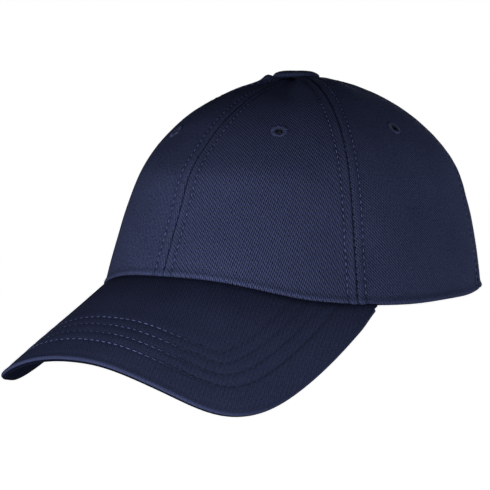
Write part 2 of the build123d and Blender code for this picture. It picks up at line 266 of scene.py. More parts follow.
# ---- materials -------------------------------------------------------------------
class Nodes:
    """Short hand for building a node tree."""

    def __init__(self, name):
        self.material = bpy.data.materials.new(name)
        self.material.use_nodes = True
        self.tree = self.material.node_tree
        self.shader = self.tree.nodes["Principled BSDF"]

    def new(self, kind, **settings):
        node = self.tree.nodes.new("ShaderNode" + kind)
        for key, value in settings.items():
            setattr(node, key, value)
        return node

    def link(self, source, target):
        self.tree.links.new(source, target)

    def math(self, operation, a, b=0.0, c=0.0):
        node = self.new("Math", operation=operation)
        for socket, value in zip(node.inputs, (a, b, c)):
            if isinstance(value, (int, float)):
                socket.default_value = value
            else:
                self.link(value, socket)
        return node.outputs[0]

    def texture(self, kind, vector, scale, **values):
        node = self.new(kind)
        self.link(vector, node.inputs["Vector"])
        node.inputs["Scale"].default_value = scale
        for key, value in values.items():
            node.inputs[key].default_value = value
        return node.outputs["Fac"] if "Fac" in node.outputs else node.outputs["Distance"]

    def mix(self, factor, a, b, blend="MIX"):
        node = self.new("Mix", data_type="RGBA", blend_type=blend)
        for key, value in (("Factor", factor), ("A", a), ("B", b)):
            socket = node.inputs[key]
            if isinstance(value, (int, float)):
                socket.default_value = value
            elif isinstance(value, tuple):
                socket.default_value = (*value, 1)
            else:
                self.link(value, socket)
        return node.outputs["Result"]

    def bump(self, height, strength, distance):
        node = self.new("Bump")
        node.inputs["Strength"].default_value = strength
        node.inputs["Distance"].default_value = distance * MM
        self.link(height, node.inputs["Height"])
        self.link(node.outputs["Normal"], self.shader.inputs["Normal"])
        return node

    def set(self, **values):
        for key, value in values.items():
            self.shader.inputs[key.replace("_", " ")].default_value = value


def navy(level):
    return (0.0200 * level, 0.0252 * level, 0.0590 * level)


FLOATS = (1.098, -0.214)
WALES = (0.392, 0.488)


def twill(name, level=1.0, floats=FLOATS, wales=WALES, grain=(0.42, 0.24, 0.22), gloss=0.85,
          shine=0.002):
    """Cotton twill: short floats stepped into diagonal wales, with lint, uneven dye and a paler, less blue
    painted highlight on the float tops.
    floats and wales are the two repeats of the weave, in repeats per millimetre across and up the cloth."""
    n = Nodes(name)
    place = n.new("UVMap", uv_map="cloth").outputs["UV"]
    split = n.new("SeparateXYZ")
    n.link(place, split.inputs["Vector"])
    drift = n.math("MULTIPLY", n.texture("TexNoise", place, 14.0, Detail=2.0, Roughness=0.5), 5.0)
    slub = n.math("MULTIPLY", n.texture("TexNoise", place, 95.0, Detail=2.0, Roughness=0.6), 3.2)
    waves = []
    for across, up in (floats, wales):
        phase = n.math("MULTIPLY_ADD", split.outputs["X"], across * tau * 100,
                       n.math("MULTIPLY", split.outputs["Y"], up * tau * 100))
        waves.append(n.math("SINE", n.math("ADD", phase, n.math("ADD", drift, slub))))
    fuzz = n.texture("TexNoise", place, 95.0, Detail=4.0, Roughness=0.75)
    weave = n.math("MULTIPLY_ADD", waves[0], grain[0], n.math("MULTIPLY", waves[1], grain[1]))
    weave = n.math("MULTIPLY_ADD", n.math("SUBTRACT", fuzz, 0.5), grain[2] * 4, weave)
    mottle = n.texture("TexNoise", place, 5.0, Detail=5.0, Roughness=0.6)
    worn = n.math("MULTIPLY_ADD", mottle, 0.34, 0.83)
    # painted shade and painted highlights come in through the mesh's 'shade' attribute
    shade = n.new("Attribute", attribute_name="shade").outputs["Fac"]
    value = n.math("MULTIPLY", n.math("MULTIPLY", shade, worn),
                   n.math("MAXIMUM", n.math("ADD", weave, 1.0), 0.08))
    # painted highlight: the float tops mix towards a paler, less blue copy of the navy
    ridge = tuple(c * k for c, k in zip(navy(level), (1.18, 1.12, 1.0)))
    tone = n.mix(n.math("MULTIPLY_ADD", weave, 0.5, 0.4), navy(level * 0.97), ridge)
    final = n.new("HueSaturation")
    n.link(tone, final.inputs["Color"])
    n.link(value, final.inputs["Value"])
    n.link(final.outputs["Color"], n.shader.inputs["Base Color"])
    n.link(n.math("MULTIPLY_ADD", fuzz, 0.16, gloss - 0.08), n.shader.inputs["Roughness"])
    n.bump(n.math("MULTIPLY_ADD", weave, 0.6, 0.5), 0.5, 0.14)
    n.set(Sheen_Weight=0.0, Sheen_Roughness=0.5, Sheen_Tint=(0.5, 0.6, 1.0, 1), Specular_IOR_Level=shine,
          Specular_Tint=(0.44, 0.54, 1.0, 1))
    return n.material


def thread(name, level, gloss=0.55):
    """Spun polyester thread: fine noise stands in for the twist, with lighter spots."""
    n = Nodes(name)
    place = n.new("TexCoord").outputs["Object"]
    twist = n.texture("TexNoise", place, 2600.0, Detail=2.0)
    spots = n.texture("TexNoise", place, 240.0, Detail=2.0)
    tone = n.mix(n.math("MULTIPLY_ADD", twist, 0.6, 0.2), navy(level * 0.7), navy(level * 1.35))
    tone = n.mix(n.math("MULTIPLY", spots, 0.5), tone, navy(level * 1.6))
    value = n.new("HueSaturation")
    n.link(tone, value.inputs["Color"])
    # the mesh's 'shade' attribute scales the thread colour, bringing in painted shade and painted
    # highlights
    n.link(n.new("Attribute", attribute_name="shade").outputs["Fac"], value.inputs["Value"])
    n.link(value.outputs["Color"], n.shader.inputs["Base Color"])
    n.bump(twist, 0.6, 0.12)
    n.set(Roughness=gloss, Specular_IOR_Level=0.12)
    return n.material


def plain_weave(name, dark, light, count=22.0, depth=0.12, open_weave=0.0):
    """Plain weave of warp and weft: tape, buckram and labels. The foam borrows it."""
    n = Nodes(name)
    place = n.new("UVMap", uv_map="cloth").outputs["UV"]
    split = n.new("SeparateXYZ")
    n.link(place, split.inputs["Vector"])
    warp = n.math("SINE", n.math("MULTIPLY", split.outputs["X"], count * tau * 2.2))
    weft = n.math("SINE", n.math("MULTIPLY", split.outputs["Y"], count * tau * 2.2))
    cross = n.math("MULTIPLY", warp, weft)
    weave = n.math("MULTIPLY_ADD", cross, 0.5, 0.5)
    fuzz = n.texture("TexNoise", place, 260.0, Detail=3.0)
    # the mesh's 'shade' attribute scales the colour, bringing in the painted highlight on the tape's rolled
    # edges
    shade = n.new("Attribute", attribute_name="shade").outputs["Fac"]
    tone = n.mix(n.math("MULTIPLY_ADD", fuzz, 0.5, n.math("MULTIPLY", weave, 0.4)), dark, light)
    if open_weave:
        holes = n.math("LESS_THAN", weave, open_weave)
        tone = n.mix(n.math("MULTIPLY", holes, 0.75), tone, tuple(c * 0.2 for c in dark))
    value = n.new("HueSaturation")
    n.link(tone, value.inputs["Color"])
    n.link(shade, value.inputs["Value"])
    n.link(value.outputs["Color"], n.shader.inputs["Base Color"])
    n.bump(n.math("MULTIPLY_ADD", fuzz, 0.4, weave), 0.6, depth)
    n.set(Roughness=0.88, Specular_IOR_Level=0.2, Sheen_Weight=0.08)
    return n.material


def metal(name, tone, rough):
    """Plated steel: brushing, and tarnish in patches."""
    n = Nodes(name)
    place = n.new("TexCoord").outputs["Object"]
    stretch = n.new("Mapping")
    n.link(place, stretch.inputs["Vector"])
    stretch.inputs["Scale"].default_value = (1, 1, 0.06)
    brushed = n.texture("TexNoise", stretch.outputs["Vector"], 2400.0, Detail=3.0)
    patches = n.texture("TexNoise", place, 160.0, Detail=4.0)
    dark = tuple(c * 0.45 for c in tone)
    n.link(n.mix(n.math("MULTIPLY_ADD", patches, 0.9, -0.1), dark, tone), n.shader.inputs["Base Color"])
    n.link(n.math("MULTIPLY_ADD", patches, 0.2, n.math("MULTIPLY_ADD", brushed, 0.16, rough)),
           n.shader.inputs["Roughness"])
    n.bump(brushed, 0.25, 0.05)
    n.set(Metallic=1.0)
    return n.material


LOW_GRAIN = (0.14, 0.08, 0.42)
CROWN = twill("crown_twill", grain=(0.60, 0.24, 0.30))
CROWN_MIRROR = twill("crown_twill_mirror", floats=(1.1, 0.3), wales=(0.62, -0.42),
                     grain=(0.40, 0.20, 0.70))
CROWN_SIDE = twill("crown_twill_side", floats=(0.95, -0.3), wales=(0.563, 0.557),
                   grain=(0.25, 0.42, 0.50))
BILL = twill("bill_twill", 1.0, floats=(0.74, 0.74), wales=(0.53, 0.165), grain=LOW_GRAIN)
# painted shade: the bill's underside is a dark copy of the bill twill, level 0.16
UNDER = twill("bill_under_twill_shaded", 0.16, floats=(0.74, -0.74), wales=(0.53, -0.165), grain=LOW_GRAIN,
              shine=0.0)
BAND = twill("band_twill", 0.9, grain=LOW_GRAIN)
STRAP = twill("strap_twill", 1.0, grain=LOW_GRAIN)
BIAS = twill("bias_twill", 1.05, floats=(0.9, 0.5), wales=(0.1, 0.6), grain=LOW_GRAIN)
THREAD = thread("topstitch_thread", 2.2, 0.7)
BILL_THREAD = thread("bill_thread", 3.1, 0.6)
# painted shade: seam_thread is a dark copy of the thread, laid in the seam groove as its dark line
SEAM_THREAD = thread("seam_thread", 0.22, 0.8)
EYELET = thread("eyelet_thread", 1.35, 0.7)
TAPE = plain_weave("seam_tape", navy(0.55), navy(1.05), 20.0)
BUCKRAM = plain_weave("buckram", navy(0.7), navy(1.7), 8.0, 0.25, 0.32)
LABEL = plain_weave("label_weave", (0.42, 0.42, 0.40), (0.70, 0.70, 0.67), 26.0, 0.06)
FOAM = plain_weave("open_cell_foam", (0.10, 0.10, 0.11), (0.16, 0.16, 0.17), 3.0)
NICKEL = metal("antique_nickel", (0.42, 0.40, 0.37), 0.24)
# painted shade: the steel is darkened so the shell reads as shade where it shows under the button cover
STEEL = metal("stamped_steel", (0.16, 0.16, 0.16), 0.5)

# ---- crown panels ----------------------------------------------------------------
# cloth beside a seam: groove, raised allowance, dip under the topstitching
BESIDE_SEAM = [(0, -0.4), (0.35, -0.08), (0.9, 0.16), (2.0, 0.24), (3.9, 0.20), (4.9, -0.06),
               (5.8, 0.08), (8.5, 0)]
STITCH_OFF = 4.9
NEAR_SEAM = [0, 0.18, 0.4, 0.8, 1.4, 2.2, 3.2, 4.2, 4.9, 5.6, 6.6, 8.4]
# the turned hem: height above the rim, out from the wall, drop
HEM = [(2.4, -1.9, 0), (0.9, -1.9, 0), (0.0, -1.5, -0.15), (0.0, -0.8, -0.45), (0.0, 0.0, -0.3),
       (0.35, 0.5, 0), (1.0, 0.72, 0), (1.8, 0.62, 0), (2.6, 0.25, 0), (3.6, -0.05, 0),
       (5.0, -0.05, 0), (7.0, 0, 0), (9.5, 0, 0)]
WALL_ROWS, MIDDLE_COLUMNS = 66, 15
EYELET_HOLE, OPENING_MARGIN = 2.3, 2.6
EYELET_ANGLES, EYELET_CLIMB = {"front": 27.8, "side": 87.0, "back": 151.8}, 48.3
# how far the seam allowances pile up under the button, in millimetres
PILE_UP = {"front_seam_right": 2.7, "front_seam_left": 0.5, "centre_front": 0.55,
           "back_seam_left": 0.5, "back_seam_right": 0.6, "centre_back": 0.5}


def hem_wave(angle):
    """The hem sags beside the bill and rides up behind the ears."""
    return 1.7 * hump(angle, 129, 13) - 1.4 * hump(angle, 72, 22)


SHOULDER_Z = 57.0


def inside_arch(p, grow):
    return p.y > 50 and (p.x / (ARCH_HALF + grow)) ** 2 + (p.z / (ARCH_HEIGHT + grow)) ** 2 < 1


def ripple(p, from_seam):
    """How far the crown's cloth stands off its smooth shape, in millimetres: the stiffened front breaks
    over into the top at SHOULDER_Z, the sides hollow behind the front seam, and all of it is uneven."""
    angle = degrees(atan2(abs(p.x), APEX_Y - p.y))
    front = 1 - fade(angle, 26, 50)
    shoulder = 0.7 * hump(p.z, SHOULDER_Z, 9) - 1.3 * fade(p.z, SHOULDER_Z - 1, SHOULDER_Z + 23)
    hollow = 2.3 * hump(angle, 117, 15) * hump(p.z, 61, 17)
    hollow -= 1.3 * hump(angle, 85, 12) * hump(p.z, 48, 17)
    uneven = noise.noise(p / 36) * 0.95 + noise.noise(p / 12 + Vector((5, 0, 0))) * 0.16
    over_strap = fade(angle, 128, 140) * (1 - fade(p.z, 24, 34))
    uneven = uneven * (1 - over_strap) + 0.25 * over_strap
    return front * shoulder + hollow + uneven * fade(from_seam, 1.0, 7.0)


def crown_panel(name, first, last, side, material, turn, piles, seed, hole):
    points, uv, shade = [], [], []
    columns = 2 * len(NEAR_SEAM) + MIDDLE_COLUMNS
    rows = len(HEM) + WALL_ROWS
    up_mm, previous = 0.0, None
    for i in range(rows):
        if i < len(HEM):
            above, hem_out, drop = HEM[i]
            climb_mid = climb_at((first(0) + last(0)) / 2, above)
        else:
            t = (i - len(HEM) + 1) / WALL_ROWS
            above, hem_out, drop = None, 0.0, 0.0
            low_mid = climb_at((first(0) + last(0)) / 2, HEM[-1][0])
            climb_mid = low_mid + (PANEL_TOP - low_mid) * t
        a, b = first(climb_mid), last(climb_mid)
        slow_a, slow_b = mm_per_degree(a, climb_mid), mm_per_degree(b, climb_mid)
        width = (b - a) * (slow_a + slow_b) / 2
        shrink = min(1.0, width / 21.0)
        middle = face((a + b) / 2, climb_mid)
        if previous is not None:
            up_mm += (middle - previous).length
        previous = middle
        near = [d * shrink for d in NEAR_SEAM]
        angles = [(a + d / slow_a, d) for d in near]
        inner_a, inner_b = a + near[-1] / slow_a, b - near[-1] / slow_b
        for k in range(MIDDLE_COLUMNS):
            t = (k + 1) / (MIDDLE_COLUMNS + 1)
            angles.append((inner_a + (inner_b - inner_a) * t, 20.0))
        angles += [(b - d / slow_b, d) for d in reversed(near)]
        for j, (angle, d) in enumerate(angles):
            if above is None:
                low = climb_at(angle, HEM[-1][0])
                climb = low + (PANEL_TOP - low) * ((i - len(HEM) + 1) / WALL_ROWS)
            else:
                climb = climb_at(angle, above)
            out = curve_through(BESIDE_SEAM, d) * (0.4 + 0.6 * shrink) + hem_out
            out += ripple(face(side * angle, climb), d)
            if hem_out < 0:
                out -= 0.4 * hem_out * fade(angle, 125, 140)
            along = up_mm / 6.5 + seed
            pucker = 0.15 * noise.noise(Vector((along * 2.1, d * 0.25, seed)))
            out += pucker * fade(d, 0.3, 2) * (1 - fade(d, 6, 12))
            pile = piles[0] if j < columns / 2 else piles[1]
            out += pile * hump(reach(angle, climb), 14.0, 2.7) * hump(d, 1.2, 3.4)
            height = face(angle, climb).z - rim_height(angle)
            out -= 0.9 * (1 - fade(height, 0, 22)) * fade(angle, 95, 118) * (1 - fade(angle, 122, 139))
            reached = reach(angle, climb)
            out += 0.5 * hump(reached, 30, 13) * sin(radians(angle) * 9 + side) * fade(d, 1.0, 7.0)
            p = on_crown(side * angle, climb, out)
            p.z += drop + hem_wave(angle) * (1 - fade(p.z - rim_height(angle), 0, 30))
            points.append(p)
            x_mm = side * (-width / 2 + width * (angle - a) / (b - a))
            c, s = cos(radians(turn)), sin(radians(turn))
            uv.append((x_mm * c - up_mm * s, x_mm * s + up_mm * c))
            # painted shade down the seam groove and in the dip under the topstitching, and a painted
            # highlight on the raised allowance beside the seam
            tone = 0.52 + 0.48 * fade(d, 0.05, 0.45)
            tone *= 1 + 0.12 * hump(d, 1.6, 0.7) - 0.42 * hump(d, STITCH_OFF, 0.62)
            if above is not None:
                # painted highlight along the hem's rolled fold at the front, and painted shade on the
                # roll's underside and the turned-in edge
                tone *= 1 + 0.22 * hump(above, 1.0, 0.9) * (1 - fade(angle, 45, 60))
                tone *= 0.5 if hem_out < -0.5 else (0.6 if above < 0.3 else 1.0)
            shade.append(tone)
    faces = grid_faces(rows, columns, flip=side < 0)
    kept = []
    for quad in faces:
        centre = sum((points[k] for k in quad), Vector()) / 4
        if inside_arch(centre, OPENING_MARGIN) or (centre - hole).length < EYELET_HOLE:
            continue
        kept.append(quad)
    return piece(name + "_twill", points, kept, material, "cap", uv, shade, (name,),
                 levels=1, thick=0.8)


def eyelet_seat(kind, side):
    angle = side * EYELET_ANGLES[kind]
    off = ripple(face(angle, EYELET_CLIMB), 20.0)
    return on_crown(angle, EYELET_CLIMB, off), normal_at(angle, EYELET_CLIMB)


PANELS = (("front", centre_front, front_seam), ("side", front_seam, back_seam),
          ("back", back_seam, centre_back))
for order, (kind, first, last) in enumerate(PANELS):
    for side, hand in ((1, "left"), (-1, "right")):
        ends = [f.__name__ + ("" if f.__name__.startswith("centre") else f"_{hand}")
                for f in (first, last)]
        obj = crown_panel(
            f"panel_{kind}_{hand}", first, last, side,
            CROWN_SIDE if kind != "front" else (CROWN if side > 0 else CROWN_MIRROR),
            (4.0, 0.0, -3.0)[order] * side, [PILE_UP[e] for e in ends], order * 2 + (side > 0) + 1.37,
            eyelet_seat(kind, side)[0],
        )


# ---- topstitching on the crown ---------------------------------------------------
ROW_STEPS = 100


def seam_row(seam, side, off, from_above, top=84.5, out=0.0):
    """A row of stitches beside a seam: points up the wall with their normals."""
    run = []
    low = climb_at(seam(0), from_above)
    for i in range(ROW_STEPS + 1):
        climb = low + (top - low) * i / ROW_STEPS
        slow = mm_per_degree(seam(climb), climb)
        room = min(1.0, slow * 26 / 10.0)
        angle = seam(climb) + off * room / slow
        n = normal_at(side * angle, climb)
        p = face(side * angle, climb)
        run.append((p + n * (out + ripple(p, abs(off) * room)), n))
    return run


SEAMS = (("centre_front", centre_front, (1,), 3.0), ("front_side", front_seam, (1, -1), 3.0),
         ("back_side", back_seam, (1, -1), 3.0), ("centre_back", centre_back, (1,), ARCH_HEIGHT + 7.0))
for name, seam, sides, start in SEAMS:
    for side in sides:
        hand = "" if len(sides) == 1 else ("_left" if side > 0 else "_right")
        outside = [seam_row(seam, side, off, start) for off in (-STITCH_OFF, STITCH_OFF)]
        stitches(f"topstitch_{name}{hand}", outside, THREAD, "cap")
        joined = [seam_row(seam, side, 0.1, start - 1.0, top=86.0)]
        stitches(f"seam_stitch_{name}{hand}", joined, SEAM_THREAD, "cap", radius=0.25,
                 length=1.5, pitch=3.1)

# ---- seam tapes, stiffeners ------------------------------------------------------
TAPE_PROFILE = [(-10.0, -1.3), (-9.4, -1.8), (-6.0, -1.62), (-4.9, -1.5), (-3.6, -1.7), (-1.2, -1.95),
                (0.0, -1.85), (1.2, -1.95), (3.6, -1.7), (4.9, -1.5), (6.0, -1.62), (9.4, -1.8),
                (10.0, -1.3)]


def seam_tape(name, seam, side, start):
    points, uv, shade = [], [], []
    rows = 64
    low = climb_at(seam(0), start)
    for i in range(rows):
        climb = low + (85.0 - low) * i / (rows - 1)
        slow = mm_per_degree(seam(climb), climb)
        room = min(1.0, slow * 23 / 10.0)
        for off, out in TAPE_PROFILE:
            angle = side * (seam(climb) + off * room / slow)
            points.append(on_crown(angle, climb, out + ripple(face(angle, climb), abs(off))))
            uv.append((off, climb * 1.8))
            # painted highlight along the tape's rolled edges
            shade.append(1.15 if abs(off) > 9 else 1.0)
    faces = grid_faces(rows, len(TAPE_PROFILE), flip=side > 0)
    obj = piece(name + "_cloth", points, faces, TAPE, "cap", uv, shade, (name,),
                levels=1, thick=0.25)


for name, seam, sides, start in SEAMS:
    for side in sides:
        hand = "" if len(sides) == 1 else ("_left" if side > 0 else "_right")
        seam_tape(f"tape_{name}{hand}", seam, side, 1.0 if start < 10 else start)
        inside = [[(p, -n) for p, n in seam_row(seam, side, off, max(start, 33), out=-1.72)]
                  for off in (-STITCH_OFF, STITCH_OFF)]
        stitches(f"tape_stitch_{name}{hand}", inside, THREAD, "cap", radius=0.2)

for side, hand in ((1, "left"), (-1, "right")):
    points, uv = [], []
    rows, columns = 34, 16
    low, high = climb_at(26.0, 2.0), 64.0
    for i in range(rows):
        climb = low + (high - low) * i / (rows - 1)
        a = 8.0 / mm_per_degree(0, climb)
        b = front_seam(climb) - 8.0 / mm_per_degree(front_seam(climb), climb)
        for j in range(columns):
            angle = side * (a + (b - a) * j / (columns - 1))
            points.append(on_crown(angle, climb, -1.3 + ripple(face(angle, climb), 20.0)))
            uv.append((angle * 1.7, climb * 1.8))
    seat, _ = eyelet_seat("front", side)
    faces = [q for q in grid_faces(rows, columns, flip=side > 0)
             if (sum((points[k] for k in q), Vector()) / 4 - seat).length > 3.2]
    obj = piece(f"stiffener_{hand}_buckram", points, faces, BUCKRAM, "cap", uv, None,
                (f"stiffener_{hand}",), levels=1, thick=0.35)

# ---- eyelets ---------------------------------------------------------------------
EYELET_STRANDS = 34
for kind in ("front", "side", "back"):
    back = 2.15 if kind == "front" else 1.5
    # round the section: radius, height off the cloth, tone, which is painted shade down the hole and round
    # the foot and a painted highlight over the rolled top
    ring = [(3.85, -0.1, 0.7), (3.6, 0.28, 1.1), (3.0, 0.42, 1.15), (2.4, 0.34, 1.0), (1.85, 0.1, 0.6),
            (1.5, -0.3, 0.16), (1.15, -0.9, 0.06), (1.05, -back + 0.4, 0.1), (1.6, -back, 0.6),
            (2.6, -back - 0.1, 1.0), (3.3, -back + 0.1, 1.0), (3.7, -back + 0.5, 0.8)]
    for side, hand in ((1, "left"), (-1, "right")):
        name = f"eyelet_{kind}_{hand}"
        random.seed(name)
        seat, n = eyelet_seat(kind, side)
        across = Vector((0, 0, 1)).cross(n).normalized()
        up = n.cross(across)
        points, shade = [], []
        per, width = 5, len(ring)
        for strand in range(EYELET_STRANDS):
            uneven, light = random.uniform(-0.34, 0.26), random.uniform(0.55, 1.35)
            skew = random.uniform(-0.02, 0.02)
            for k in range(per):
                a = tau * (strand + k / per) / EYELET_STRANDS
                ridge = sin(pi * (k + 0.5) / per)
                for r, h, dark in ring:
                    rr = r + (uneven + 0.12 * ridge) * fade(r, 1.8, 3.4)
                    hh = h + 0.2 * (ridge - 0.6) * (1 if h > -0.5 else -1) * fade(r, 1.0, 1.8)
                    turn = a + skew * (r - 2)
                    points.append(seat + n * hh + across * (rr * cos(turn)) + up * (rr * sin(turn)))
                    # painted shade between the strands, on top of each strand's random tone
                    shade.append(dark * light * (0.45 + 0.55 * ridge))
        faces = []
        for i in range(EYELET_STRANDS * per):
            for j in range(width):
                k, m = (i + 1) % (EYELET_STRANDS * per), (j + 1) % width
                faces.append((i * width + j, k * width + j, k * width + m, i * width + m))
        piece(name + "_thread", points, faces, EYELET, "cap", None, shade, (name,),
              closed=True)
random.seed(11)

# ---- button ----------------------------------------------------------------------
# radius and height
BUTTON = [(0, 109.95), (3.0, 109.92), (6.0, 109.8), (8.4, 109.5), (10.2, 108.95), (11.3, 108.2),
          (11.75, 107.4), (11.6, 106.75), (11.0, 106.3), (9.0, 106.1)]
points, uv = [], []
ring_count = 72
for r, z in BUTTON:
    for j in range(ring_count):
        a = tau * j / ring_count
        gather = 0.16 * sin(a * 9 + 1.3) * fade(r, 8.5, 11.5)
        lump = 0.22 * noise.noise(Vector((r * cos(a) * 0.16, r * sin(a) * 0.16, 4.0)))
        points.append(Vector(((r + gather) * cos(a), APEX_Y + (r + gather) * sin(a), z + lump)))
        uv.append((r * cos(a), r * sin(a)))
# painted highlight and painted shade: the cover is lighter over the top and tucked-under ring, darker round
# the side
shade = [1.35 if r < 9.5 else 0.85 for r, z in BUTTON for j in range(ring_count)]
faces = grid_faces(len(BUTTON), ring_count, around=True, flip=True)
obj = piece("button_cover_twill", points, faces, STRAP, "cap", uv, shade, ("button_cover",),
            levels=1)

# ---- bill ------------------------------------------------------------------------
line = [*BILL_OUTLINE, (0.0, BILL_TIP_Y), *((-x, y) for x, y in reversed(BILL_OUTLINE))]


def spline_through(nodes):
    """Natural cubic through the nodes, by length; returns a function of 0 to 1."""
    s = [0.0]
    for (x0, y0), (x1, y1) in zip(nodes, nodes[1:]):
        s.append(s[-1] + hypot(x1 - x0, y1 - y0))
    count = len(nodes)
    bend = []
    for axis in (0, 1):
        low, high, m = [0.0] * count, [0.0] * count, [0.0] * count
        for i in range(1, count - 1):
            h0, h1 = s[i] - s[i - 1], s[i + 1] - s[i]
            ahead, behind = nodes[i + 1][axis] - nodes[i][axis], nodes[i][axis] - nodes[i - 1][axis]
            rate = ahead / h1 - behind / h0
            scale = 2 * (h0 + h1) - h0 * low[i - 1]
            low[i] = h1 / scale
            high[i] = (6 * rate - h0 * high[i - 1]) / scale
        for i in range(count - 2, 0, -1):
            m[i] = high[i] - low[i] * m[i + 1]
        bend.append(m)

    def at(t):
        place = min(max(t, 0.0), 1.0) * s[-1]
        i = max(k for k in range(count - 1) if s[k] <= place or k == 0)
        h, found = s[i + 1] - s[i], []
        p, q = (s[i + 1] - place) / h, (place - s[i]) / h
        for axis in (0, 1):
            m = bend[axis]
            cubic = (p ** 3 - p) * m[i] + (q ** 3 - q) * m[i + 1]
            found.append(p * nodes[i][axis] + q * nodes[i + 1][axis] + cubic * h * h / 6)
        return found

    return at


outline = spline_through(line)


def bill_frame(u, v):
    ix, iy = plan(u * BILL_ANGLE)
    ex, ey = outline((1 - u) / 2)
    x, y = ix + (ex - ix) * v, iy + (ey - iy) * v
    lift = (rim_height(u * BILL_ANGLE) - bill_height(ix, iy)) * max(1 - v, 0) ** 4
    lift += BILL_END_LIFT * fade(abs(u), 0.93, 1.0) * v
    y += 3.2 * hump(-x, 67, 9) * v
    x += (1.1 * fade(-x, 50, 78) + 1.4 * hump(x, 59, 13)) * v
    slope = BILL_DROP * BILL_POWER / HALF_WIDTH * (abs(x) / HALF_WIDTH) ** (BILL_POWER - 1)
    n = Vector((slope * (1 if x > 0 else -1), -BILL_PITCH, 1)).normalized()
    return Vector((x, y, bill_height(x, y) + lift)), n


BILL_COLUMNS, BILL_ROWS = 161, 66
BEND = sqrt(1 + BILL_PITCH ** 2)


def unrolled(p):
    """The place on the flat cloth of a point on the bent bill."""
    steps, across = 24, 0.0
    for k in range(steps):
        x = abs(p.x) * (k + 0.5) / steps
        slope = BILL_DROP * BILL_POWER / HALF_WIDTH * (x / HALF_WIDTH) ** (BILL_POWER - 1)
        across += hypot(1, slope / BEND) * abs(p.x) / steps
    return (across if p.x > 0 else -across), (p.y + BILL_PITCH * p.z) / BEND


EDGE_STEPS = 400
edge_tree = KDTree(EDGE_STEPS + 1)
for i in range(EDGE_STEPS + 1):
    edge_tree.insert(bill_frame(2 * i / EDGE_STEPS - 1, 1.0)[0], i)
edge_tree.balance()
BILL_ROW_OFF = (15.4, 21.6, 27.6, 33.4)


def row_off(k, u):
    return BILL_ROW_OFF[k] - 2.3 * hump(u, 0.32, 0.4)


def bill_relief(off_edge, u):
    relief = -0.10 * hump(off_edge, 3.4, 1.1)
    for k in range(len(BILL_ROW_OFF)):
        relief -= 0.20 * hump(off_edge, row_off(k, u), 0.75)
    return relief + 0.10 * fade(off_edge, 14, 18) * (1 - fade(off_edge, 36, 40))


def bill_cover(name, upper, material, stands_for):
    points, uv, shade = [], [], []
    sign = 1 if upper else -1
    turns = 7
    for i in range(BILL_COLUMNS):
        u = 2 * i / (BILL_COLUMNS - 1) - 1
        edge, n = bill_frame(u, 1.0)
        before, _ = bill_frame(max(u - 0.004, -1), 1.0)
        after, _ = bill_frame(min(u + 0.004, 1), 1.0)
        out = (after - before).cross(n).normalized()
        if out.dot(edge - bill_frame(u, 0.9)[0]) < 0:
            out = -out
        inner, _ = bill_frame(u, 0.0)
        stop = 1 - (BILL_HALF + 0.2) / max((edge - inner).dot(out), 2.6)
        for j in range(BILL_ROWS):
            v = stop * j / (BILL_ROWS - 1)
            p, m = bill_frame(u, v)
            _, _, off_edge = edge_tree.find(p)
            relief = bill_relief(off_edge, u)
            relief += 0.22 * noise.noise(Vector((u * 3.0, v * 2.0, 2.0 if upper else 5.0)))
            points.append(p - m * (0 if upper else 2 * BILL_HALF) + m * relief * sign)
            uv.append(unrolled(p))
            # painted shade in the stitch grooves
            rows = sum(hump(off_edge, row_off(k, u), 0.8) for k in range(len(BILL_ROW_OFF)))
            tone = 1 - 0.12 * min(1, rows)
            # painted shade over the bill near the crown, deepest in a painted shadow line just under the
            # hem and towards the bill's ends
            from_crown = (p - inner).length
            tone *= 0.62 + 0.38 * fade(from_crown, -2, 30)
            tone *= 1 - (0.45 + 0.25 * fade(abs(u), 0.2, 0.6)) * hump(from_crown, 0, 3.0)
            # painted highlight on the ridge just inside the bill's edge
            shade.append(tone * (1 + 0.05 * hump(off_edge, 2.0, 1.2)))
        centre = edge - out * BILL_HALF - n * BILL_HALF
        for k in range(1, turns + 1):
            a = (pi / 2 + 0.06) * k / turns
            r = BILL_HALF + 0.16 * sin(pi * k / turns) - (0.28 if k == turns else 0)
            points.append(centre + out * (r * sin(a)) + n * (r * cos(a)) * sign)
            uv.append(unrolled(edge + out * (k * 0.5)))
            # painted shade round the rolled edge, darkest on its underside
            shade.append(0.9 if k < turns - 1 else 0.5)
    columns = BILL_ROWS + turns
    faces = grid_faces(BILL_COLUMNS, columns, flip=upper)
    for end in (0, BILL_COLUMNS - 1):
        first = end * columns
        middle = len(points)
        _, m = bill_frame(-1 if end == 0 else 1, 0.5)
        for j in range(columns):
            p = points[first + j]
            points.append(p - m * BILL_HALF * sign if j < BILL_ROWS else p)
            uv.append(uv[first + j])
            # painted shade on the bill's end faces
            shade.append(0.8)
        for j in range(columns - 1):
            quad = (first + j, first + j + 1, middle + j + 1, middle + j)
            faces.append(quad if (end == 0) == upper else tuple(reversed(quad)))
    obj = piece(name + "_twill", points, faces, material, "cap", uv, shade, stands_for)


bill_cover("bill_top_cover", True, BILL, ("bill_top_cover", "bill_board"))
bill_cover("bill_bottom_cover", False, UNDER, ("bill_bottom_cover",))

